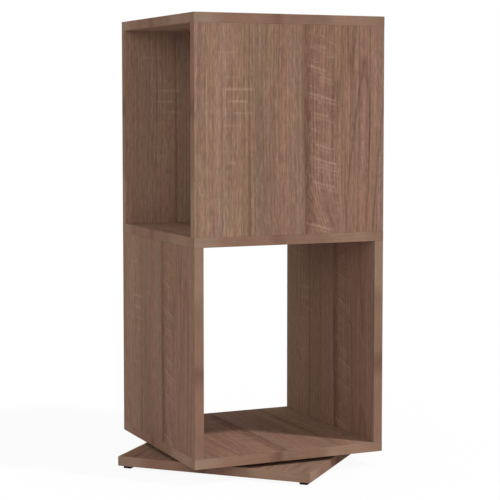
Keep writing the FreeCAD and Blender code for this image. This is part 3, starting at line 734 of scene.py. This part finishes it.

# A tone above one is painted light here too: it lightens the strips of the bottom board and the base
# plate, which the lamps leave darker.
# Directions across and along the strip, the print's start, tone, contrast and stretch
STRIP_LAYS = {
    "oak_edging_boards": (UP, (1, -1, 0), MIDDLE, 1.0, 1.0, ROUND_CORNER),
    "oak_edging_bottom": (UP, (1, -1, 0), MIDDLE, 1.1, 1.0, ROUND_CORNER),
    "oak_edging_base": (UP, (1, 0, 0), MIDDLE, 1.12, 1.0, ROUND_CORNER),
    "oak_edging_upper": ((1, 1, 0), DOWN, UPPER_STRIP_START, 1.0, 1.0, UPRIGHT),
    "oak_edging_lower": ((1, 1, 0), UP, LOWER_STRIP_START, 1.0, 1.0, UPRIGHT),
}

strip_finishes = {name: oak_finish(name, edge_print, *lay) for name, lay in STRIP_LAYS.items()}
print("strip finishes:", len(strip_finishes))

# %% Finish boards and strips
OAK_ON = {
    "upper_front_panel": ("oak_front_panel", "oak_edging_upper"),
    "upper_back_panel": ("oak_back_panel", "oak_edging_upper"),
    "lower_left_panel": ("oak_left_panel", "oak_edging_lower"),
    "lower_right_panel": ("oak_right_panel", "oak_edging_lower"),
    "top_board": ("oak_boards", "oak_edging_boards"),
    "middle_board": ("oak_boards", "oak_edging_boards"),
    "bottom_board": ("oak_bottom_board", "oak_edging_bottom"),
    "base_plate": ("oak_base_plate", "oak_edging_base"),
}


def finish_node(name, material):
    """Give a CAD node one material in every slot."""
    for slot in nodes[name].material_slots:
        slot.material = material


for name, (face, strip) in OAK_ON.items():
    finish_node(name, oak_finishes[face])
    finish_node(f"{name}_edging", strip_finishes[strip])
print("boards finished:", len(OAK_ON))

# %% [markdown]
# Under the print, the boards are pressed wood chips. They show only in the wall of the hole through the
# base plate, where a screwdriver reaches the bearing's upper screws. The wall could be a piece of its
# own. It is simpler to let the plate's finish change to chips between its two faces, because the outer
# edges lie behind the strips.

# %% Chipboard in the base plate
CHIP_PALE = srgb(205, 178, 140)
CHIP_BROWN = srgb(158, 124, 88)
CHIP_NOISE = ((620, 620, 1500), 3, 0.6)
CHIP_RANGE = (0.38, 0.62)
PRINT_SKIN = 0.0004


def cover(tree, mask, colour):
    """Lay a colour over a finish where a mask says so."""
    socket = tree.nodes["Principled BSDF"].inputs["Base Color"]
    feed(tree, socket, mix(tree, mask, socket.links[0].from_socket, colour))


base_low, base_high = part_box("base_plate")
core_low = base_low[2] + PRINT_SKIN
core_high = base_high[2] - PRINT_SKIN
tree = oak_finishes["oak_base_plate"].node_tree
place = object_place(tree)
height = split(tree, place)["Z"]
core = band(tree, height, (core_low, core_low + PRINT_SKIN / 2), (core_high - PRINT_SKIN / 2, core_high))
chips = smooth(tree, noise(tree, place, *CHIP_NOISE), *CHIP_RANGE)
cover(tree, core, mix(tree, chips, CHIP_BROWN, CHIP_PALE))
print("chipboard between", core_low, "and", core_high)

# %% [markdown]
# The glides, caps, screws and the bearing are moulded plastic and plated or polished steel. They could
# have one colour each, but would then look like toys. The real ones share an uneven surface: broad
# blotches where plating or moulding differs, and fine specks. One node group makes both for all finishes.

# %% Blotches and specks
SPECKS_PER_BLOTCH = (7, 7, 7)


def build_uneven():
    """Broad blotches and fine specks, at so many blotches per metre."""
    tree, given, result = new_group("uneven_surface", (VECTOR, *numbers("Per Metre")),
                                    numbers("Blotches", "Specks"))
    scaled = add_node(tree, "ShaderNodeVectorMath", given["Vector"], operation="SCALE")
    feed(tree, scaled.inputs["Scale"], given["Per Metre"])
    vector = scaled.outputs[0]
    feed(tree, result["Blotches"], noise(tree, vector, (1, 1, 1), detail=3))
    feed(tree, result["Specks"], noise(tree, vector, SPECKS_PER_BLOTCH, shift=(5.0, 2.0, 8.0)))
    return tree


uneven = build_uneven()
print("uneven surface:", len(uneven.nodes), "nodes")

# %% Steel and plastic
BLOTCH_RANGE = (0.3, 0.7)
GLOSS_RANGE = (0.25, 0.75)
SPECK_RANGE = (0.62, 0.75, 1.0, 0.8)
SPECK_BUMP = 0.3


def small_finish(name, dark, light, per_metre, roughness, relief, metal):
    """A small part's finish: two tones in blotches, a roughness range and a fine relief."""
    material, tree, shader = start_material(name)
    spots = use_group(tree, uneven, Vector=object_place(tree), Per_Metre=per_metre)
    colour = mix(tree, smooth(tree, spots["Blotches"], *BLOTCH_RANGE), dark, light)
    colour = mix(tree, 1.0, colour, smooth(tree, spots["Specks"], *SPECK_RANGE), mode="MULTIPLY")
    gloss = smooth(tree, spots["Blotches"], *GLOSS_RANGE, *roughness)
    dress(tree, shader, colour, gloss, spots["Specks"], SPECK_BUMP, relief)
    shader.inputs["Metallic"].default_value = metal
    return material


# Dark and light tone, blotches per metre, range of roughness, depth of relief, and 1 for metal
SMALL_SURFACES = {
    "plated_steel": (srgb(168, 170, 173), srgb(196, 197, 199), 140, (0.32, 0.48), 0.00006, 1.0),
    "bright_screw_steel": (srgb(182, 176, 160), srgb(203, 199, 186), 500, (0.26, 0.40), 0.00003, 1.0),
    "polished_ball_steel": (srgb(196, 198, 201), srgb(210, 212, 214), 700, (0.10, 0.18), 0.000008, 1.0),
    "white_nylon": (srgb(212, 207, 192), srgb(226, 222, 210), 220, (0.42, 0.56), 0.00005, 0.0),
    "brown_plastic": (srgb(112, 86, 71), srgb(124, 96, 80), 650, (0.48, 0.60), 0.00004, 0.0),
    "black_plastic": (srgb(9, 9, 9), srgb(16, 16, 16), 500, (0.50, 0.64), 0.00006, 0.0),
}

small_finishes = {name: small_finish(name, *row) for name, row in SMALL_SURFACES.items()}
print("small finishes:", len(small_finishes))

# %% [markdown]
# The glides are square pads of black plastic, nailed under the base plate's corners. Their faces on the
# floor are scuffed by use. Scratches could be painted on those faces alone, but each pad is one mesh with
# one finish. So the finish turns a little paler within the last millimetre above the floor.

# %% Glide plastic
GLIDE_SCUFF_TOP = 0.0011
GLIDE_GLOSS = 0.08
SCUFF_GREY = srgb(40, 39, 38)
SCRATCH_NOISE = ((2600, 500, 900), 3)
SCRATCH_RANGE = (0.42, 0.66)

tree = small_finishes["black_plastic"].node_tree
place = object_place(tree)
height = split(tree, place)["Z"]
near_floor = smooth(tree, height, 0.0, GLIDE_SCUFF_TOP, 1.0, 0.0)
scratches = smooth(tree, noise(tree, place, *SCRATCH_NOISE), *SCRATCH_RANGE)
cover(tree, times(tree, near_floor, scratches), SCUFF_GREY)
tree.nodes["Principled BSDF"].inputs["Specular IOR Level"].default_value = GLIDE_GLOSS
print("glide plastic: scuffed below", GLIDE_SCUFF_TOP * 1000, "mm")

# %% [markdown]
# Dowels are cut from turned beech rods, so their grain runs along them: upright here. Beech shows short
# dark flecks and hardly any rings. The oak print could be tinted for it, but its planks and seams would
# be wrong. Two layers of noise stretched along the rod are enough.

# %% Beech
BEECH_DARK = srgb(190, 148, 106)
BEECH_LIGHT = srgb(216, 178, 136)
BEECH_FLECK = srgb(150, 104, 70)
BEECH_FIBRE = ((900, 900, 45), 3)
BEECH_FLECKS = ((2200, 2200, 320), 1, 0.5, (3.0, 1.0, 4.0))
BEECH_DULL = (0.72, 0.60)
FIBRE_RANGE = (0.3, 0.7)
FLECK_RANGE = (0.60, 0.72, 0.0, 0.6)

beech, tree, shader = start_material("beech_rod")
place = object_place(tree)
fibre = noise(tree, place, *BEECH_FIBRE)
colour = mix(tree, smooth(tree, fibre, *FIBRE_RANGE), BEECH_DARK, BEECH_LIGHT)
flecks = smooth(tree, noise(tree, place, *BEECH_FLECKS), *FLECK_RANGE)
colour = mix(tree, flecks, colour, BEECH_FLECK)
dull = smooth(tree, fibre, *FIBRE_RANGE, *BEECH_DULL)
dress(tree, shader, colour, dull, fibre, strength=0.3, distance=0.0001)
print("beech:", len(tree.nodes), "nodes")

# %% Finish the small parts
SMALL_PARTS = {
    "brown_plastic": ("top_board_caps", "middle_board_upper_caps", "middle_board_lower_caps"),
    "plated_steel": ("bearing_lower_plate", "bearing_upper_plate", "bearing_eyelet"),
    "polished_ball_steel": ("bearing_balls",),
    "white_nylon": ("bearing_cage",),
    "black_plastic": ("foot_front", "foot_left", "foot_back", "foot_right"),
    "bright_screw_steel": ("foot_nails",),
}

for finish, names in SMALL_PARTS.items():
    for name in names:
        finish_node(name, small_finishes[finish])
    print(finish, "on", len(names), "nodes")

# %% [markdown]
# The tower is held by sixteen connecting screws and sixteen dowels, and its bearing by eight small
# screws. In the CAD model they are smooth. They could be modelled once and copied by hand. Here a tree of
# Geometry Nodes shapes one screw or dowel and places it on the four points of a grid. One tree serves all
# screws, because every size of a screw is an input.


# %% Geometry steps
def step(tree, kind, values, **settings):
    """Add a geometry node, feed its inputs by name, and give its first output."""
    node = add_node(tree, kind, **settings)
    for name, value in values.items():
        feed(tree, node.inputs[name], value)
    return node.outputs[0]


def around(tree):
    """A point's angle about the upright axis, and its height."""
    x, y, z = split(tree, add_node(tree, "GeometryNodeInputPosition").outputs[0])
    return calc(tree, "ARCTAN2", y, x), z


def set_radius(tree, shape, angle, radius, height):
    """Move each point to a new distance from the upright axis."""
    x = times(tree, calc(tree, "COSINE", angle), radius)
    y = times(tree, calc(tree, "SINE", angle), radius)
    return step(tree, "GeometryNodeSetPosition", {
        "Geometry": shape, "Position": combine(tree, x, y, height)})


print("helpers: step, around, set_radius")

# %% Place a set
SET_INPUTS = (*numbers("Spread X", "Spread Y", "Height", "Tip", "Turn"), ("Finish", "NodeSocketMaterial"))
SET_OUTPUTS = (("Geometry", "NodeSocketGeometry"),)


def place_set(tree, shape, given, result):
    """Put one fastener on a grid of two by two points, then lift, turn and finish the set."""
    grid = step(tree, "GeometryNodeMeshGrid", {
        "Size X": given["Spread X"], "Size Y": given["Spread Y"], "Vertices X": 2, "Vertices Y": 2})
    tipped = step(tree, "GeometryNodeTransform", {
        "Geometry": shape, "Rotation": combine(tree, given["Tip"], 0.0, 0.0)})
    placed = step(tree, "GeometryNodeInstanceOnPoints", {"Points": grid, "Instance": tipped})
    lifted = step(tree, "GeometryNodeTransform", {
        "Geometry": placed, "Translation": combine(tree, 0.0, 0.0, given["Height"]),
        "Rotation": combine(tree, 0.0, 0.0, given["Turn"])})
    real = step(tree, "GeometryNodeRealizeInstances", {"Geometry": lifted})
    finished = step(tree, "GeometryNodeSetMaterial", {"Geometry": real, "Material": given["Finish"]})
    feed(tree, result["Geometry"], finished)


print("set inputs:", len(SET_INPUTS))

# %% [markdown]
# A thread is a ridge that climbs as it goes round. It could be swept along a helix, but the sweep would
# have to be joined to the shank. Here a cylinder's own points are moved. A point's depth divided by the
# pitch, plus its share of a full turn, counts the threads so far. The fraction of that count says where
# between two ridges the point lies, and so how far it is from the axis.
#
# The head is a short cone or cylinder, and a star-shaped punch cuts the recess: a star of six points with
# shallow waists is a hexagon, and one of four points with deep waists is a cross.

# %% Screw sizes
CONNECTING_SCREW = {
    "Length": 0.047, "Thread Radius": 0.0035, "Core Radius": 0.00255, "Pitch": 0.0035,
    "Point Length": 0.005, "Point Radius": 0.0015, "Head Radius": 0.005, "Head Top": 0.005,
    "Head Height": 0.0025, "Recess Points": 6.0, "Recess Radius": 0.00231, "Recess Waist": 0.866,
    "Recess Depth": 0.003,
}
BEARING_SCREW = {
    "Length": 0.0132, "Thread Radius": 0.00175, "Core Radius": 0.0012, "Pitch": 0.0016,
    "Point Length": 0.003, "Point Radius": 0.0004, "Head Radius": 0.0035, "Head Top": 0.002,
    "Head Height": 0.0014, "Recess Points": 4.0, "Recess Radius": 0.0016, "Recess Waist": 0.4,
    "Recess Depth": 0.0009,
}
print("sizes of a screw:", len(CONNECTING_SCREW))

# %% Thread
THREAD_FLANK = (0.35, 0.95)
SCREW_SIDES = 24
RINGS_PER_TURN = 10


def thread_radius(tree, given, angle, depth):
    """The distance from the axis of a point on the thread, tapering at the point of the screw."""
    turns = calc(tree, "ADD", calc(tree, "DIVIDE", depth, given["Pitch"]),
                 calc(tree, "DIVIDE", angle, 2 * pi))
    between = calc(tree, "MULTIPLY_ADD", calc(tree, "FRACT", turns), 2.0, -1.0)
    ridge = smooth(tree, minus(tree, 1.0, calc(tree, "ABSOLUTE", between)), *THREAD_FLANK)
    rise = minus(tree, given["Thread Radius"], given["Core Radius"])
    thread = calc(tree, "MULTIPLY_ADD", ridge, rise, given["Core Radius"])
    left = minus(tree, given["Length"], depth)
    share = calc(tree, "DIVIDE", left, given["Point Length"], clamp=True)
    taper = minus(tree, thread, given["Point Radius"])
    return calc(tree, "MULTIPLY_ADD", taper, share, given["Point Radius"])


def screw_shank(tree, given):
    """The threaded shank, from half way up the head down to the point."""
    overlap = calc(tree, "DIVIDE", given["Head Height"], 2.0)
    whole = calc(tree, "ADD", given["Length"], overlap)
    rings = times(tree, calc(tree, "DIVIDE", whole, given["Pitch"]), RINGS_PER_TURN)
    rod = step(tree, "GeometryNodeMeshCylinder", {
        "Vertices": SCREW_SIDES, "Side Segments": rings, "Radius": given["Thread Radius"],
        "Depth": whole}, fill_type="NGON")
    sink = minus(tree, overlap, calc(tree, "DIVIDE", whole, 2.0))
    rod = step(tree, "GeometryNodeTransform", {
        "Geometry": rod, "Translation": combine(tree, 0.0, 0.0, sink)})
    angle, height = around(tree)
    radius = thread_radius(tree, given, angle, times(tree, height, -1.0))
    return set_radius(tree, rod, angle, radius, height)


print("thread:", SCREW_SIDES, "sides,", RINGS_PER_TURN, "rings in a turn")


# %% Recess and whole screw
def recess_punch(tree, given):
    """A star-shaped prism that reaches from above the head to the floor of the recess."""
    punch = step(tree, "GeometryNodeMeshCylinder", {
        "Vertices": times(tree, given["Recess Points"], 2.0),
        "Radius": given["Recess Radius"],
        "Depth": times(tree, given["Recess Depth"], 2.0)}, fill_type="NGON")
    odd = calc(tree, "MODULO", add_node(tree, "GeometryNodeInputIndex").outputs[0], 2.0)
    inward = minus(tree, 1.0, given["Recess Waist"])
    scale = minus(tree, 1.0, times(tree, odd, inward))
    angle, height = around(tree)
    star = set_radius(tree, punch, angle, times(tree, given["Recess Radius"], scale), height)
    return step(tree, "GeometryNodeTransform", {
        "Geometry": star, "Translation": combine(tree, 0.0, 0.0, given["Head Height"])})


def build_screw_tree():
    """Four equal screws with a thread, a head and a recess."""
    tree, given, result = new_group("screw_set", numbers(*CONNECTING_SCREW) + SET_INPUTS, SET_OUTPUTS,
                                    kind="GeometryNodeTree")
    head = step(tree, "GeometryNodeMeshCone", {
        "Vertices": 2 * SCREW_SIDES, "Radius Top": given["Head Top"],
        "Radius Bottom": given["Head Radius"], "Depth": given["Head Height"]}, fill_type="NGON")
    joined = add_node(tree, "GeometryNodeMeshBoolean", operation="UNION")
    feed(tree, joined.inputs["Mesh 2"], head)
    feed(tree, joined.inputs["Mesh 2"], screw_shank(tree, given))
    cut = add_node(tree, "GeometryNodeMeshBoolean", operation="DIFFERENCE")
    feed(tree, cut.inputs["Mesh 1"], joined.outputs[0])
    feed(tree, cut.inputs["Mesh 2"], recess_punch(tree, given))
    place_set(tree, cut.outputs[0], given, result)
    return tree


screw_tree = build_screw_tree()
print("screw tree:", len(screw_tree.nodes), "nodes")

# %% [markdown]
# The export leaves out instances and modifiers, so each set is turned into a plain mesh. It then takes
# its CAD node's place on the same body. A modifier's input is set by its socket's identifier, because
# names may repeat. Smooth shading with sharp edges keeps the flanks round and the recess crisp.

# %% Bake a set
SHARP_ANGLE = 35


def bake_set(node, tree, body, sizes):
    """Grow a set of fasteners, bake it to a plain mesh and let it stand for its CAD node."""
    piece = bpy.data.objects.new(f"{node}_detailed", bpy.data.meshes.new(node))
    scene.collection.objects.link(piece)
    modifier = piece.modifiers.new("fasteners", "NODES")
    modifier.node_group = tree
    for socket in tree.interface.items_tree:
        if socket.in_out == "INPUT":
            modifier[socket.identifier] = sizes[socket.name]
    grown = piece.evaluated_get(bpy.context.evaluated_depsgraph_get())
    mesh = bpy.data.meshes.new_from_object(grown)
    piece.modifiers.remove(modifier)
    piece.data = mesh
    mesh.materials.clear()
    mesh.materials.append(sizes["Finish"])
    mesh.polygons.foreach_set("material_index", [0] * len(mesh.polygons))
    mesh.shade_smooth()
    mesh.set_sharp_from_angle(angle=radians(SHARP_ANGLE))
    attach(piece, body)
    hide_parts(node)
    print(node, "faces:", len(mesh.polygons))


print("edges sharper than", SHARP_ANGLE, "degrees stay sharp")

# %% Bake screws
BEARING_HOLES = 0.125
HEADS_UP = {
    "top_board_screws": True,
    "middle_board_upward_screws": False,
    "middle_board_downward_screws": True,
    "bottom_board_screws": False,
}


def bake_screws(node, body, screw, heads_up, turn=0.0, spread=None):
    """Bake screws with their heads at the top or bottom of the CAD node's box, which they fill if no
    spread is given."""
    low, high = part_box(node)
    head = screw["Head Height"]
    wide = 2 * screw["Head Radius"]
    bake_set(node, screw_tree, body, {
        **screw, "Finish": small_finishes["bright_screw_steel"], "Turn": turn,
        "Spread X": spread or high[0] - low[0] - wide,
        "Spread Y": spread or high[1] - low[1] - wide,
        "Height": high[2] - head if heads_up else low[2] + head, "Tip": 0.0 if heads_up else pi})


for node, heads_up in HEADS_UP.items():
    bake_screws(node, "shelf", CONNECTING_SCREW, heads_up)
bake_screws("bearing_lower_screws", "base", BEARING_SCREW, True, turn=pi / 4, spread=BEARING_HOLES)
bake_screws("bearing_upper_screws", "shelf", BEARING_SCREW, False, spread=BEARING_HOLES)

# %% [markdown]
# A dowel has shallow flutes along it, which let the glue and the air out of its hole, and its ends are
# chamfered so that it finds the hole. Flutes could be cut with a boolean for each. Here both are a rule
# for a point's distance from the axis, so the mesh stays light and clean.

# %% Dowel tree
DOWEL = {"Length": 0.030, "Radius": 0.004, "Chamfer": 0.001, "Flutes": 18.0, "Flute Depth": 0.00028}
POINTS_PER_FLUTE = 4
FLUTE_WAVE = (-0.2, 1.0)


def build_dowel_tree():
    """Four equal fluted dowels."""
    tree, given, result = new_group("dowel_set", numbers(*DOWEL) + SET_INPUTS, SET_OUTPUTS,
                                    kind="GeometryNodeTree")
    rod = step(tree, "GeometryNodeMeshCylinder", {
        "Vertices": times(tree, given["Flutes"], POINTS_PER_FLUTE),
        "Side Segments": calc(tree, "DIVIDE", given["Length"], given["Chamfer"]),
        "Radius": given["Radius"], "Depth": given["Length"]}, fill_type="NGON")
    angle, height = around(tree)
    wave = calc(tree, "COSINE", times(tree, angle, given["Flutes"]))
    flute = times(tree, smooth(tree, wave, *FLUTE_WAVE), given["Flute Depth"])
    half = calc(tree, "DIVIDE", given["Length"], 2.0)
    to_end = minus(tree, half, calc(tree, "ABSOLUTE", height))
    chamfer = calc(tree, "MAXIMUM", minus(tree, given["Chamfer"], to_end), 0.0)
    radius = minus(tree, given["Radius"], calc(tree, "MAXIMUM", flute, chamfer))
    place_set(tree, set_radius(tree, rod, angle, radius, height), given, result)
    return tree


dowel_tree = build_dowel_tree()
print("dowel tree:", len(dowel_tree.nodes), "nodes")

# %% Dowels
DOWEL_SETS = ("top_board_dowels", "upper_floor_dowels", "lower_ceiling_dowels", "lower_floor_dowels")

wide = 2 * DOWEL["Radius"]
for node in DOWEL_SETS:
    low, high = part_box(node)
    bake_set(node, dowel_tree, "shelf", {
        **DOWEL, "Spread X": high[0] - low[0] - wide, "Spread Y": high[1] - low[1] - wide,
        "Height": (low[2] + high[2]) / 2, "Tip": 0.0, "Turn": 0.0, "Finish": beech})
